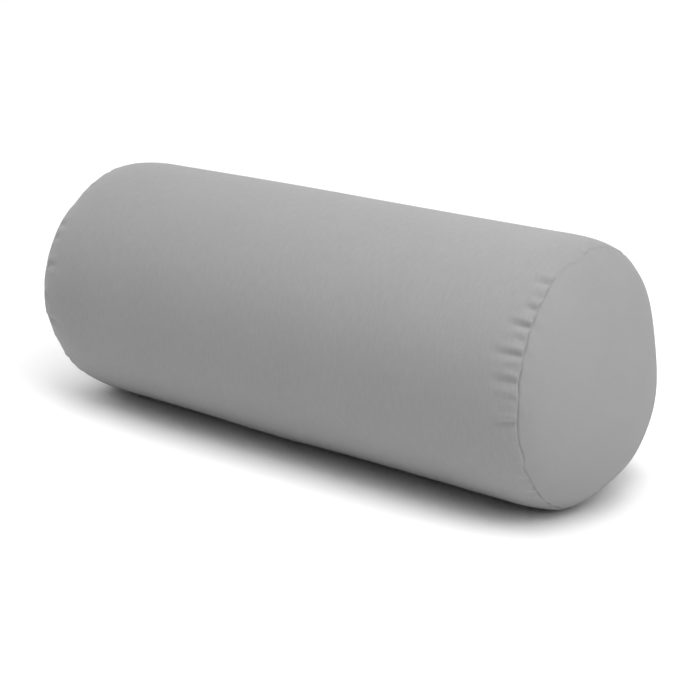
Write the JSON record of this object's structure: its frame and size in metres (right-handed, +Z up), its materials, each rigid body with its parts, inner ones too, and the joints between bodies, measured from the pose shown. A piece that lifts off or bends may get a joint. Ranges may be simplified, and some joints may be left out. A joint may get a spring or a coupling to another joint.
{
  "type": "lumbar cushion",
  "caption": "Round bolster cushion lying on its side: a filled fabric roll with crowned round ends, gathered at its seams, that supports the lower back or neck.",
  "frame": {"origin": "centre of the box's base, on the surface that the roll lies on, under the middle of the roll", "axes": "+X along the roll to its near end, the one that leans, +Z up, -Y the side that the picture shows as its front"},
  "size_m": [0.5408, 0.2032, 0.1985],
  "materials": {
    "grey_fabric": "matt, fine plain weave"
  },
  "bodies": {
    "root": {"filled_tube": "grey_fabric", "end_panel_near": "grey_fabric", "end_panel_far": "grey_fabric"}
  },
  "joints": []
}
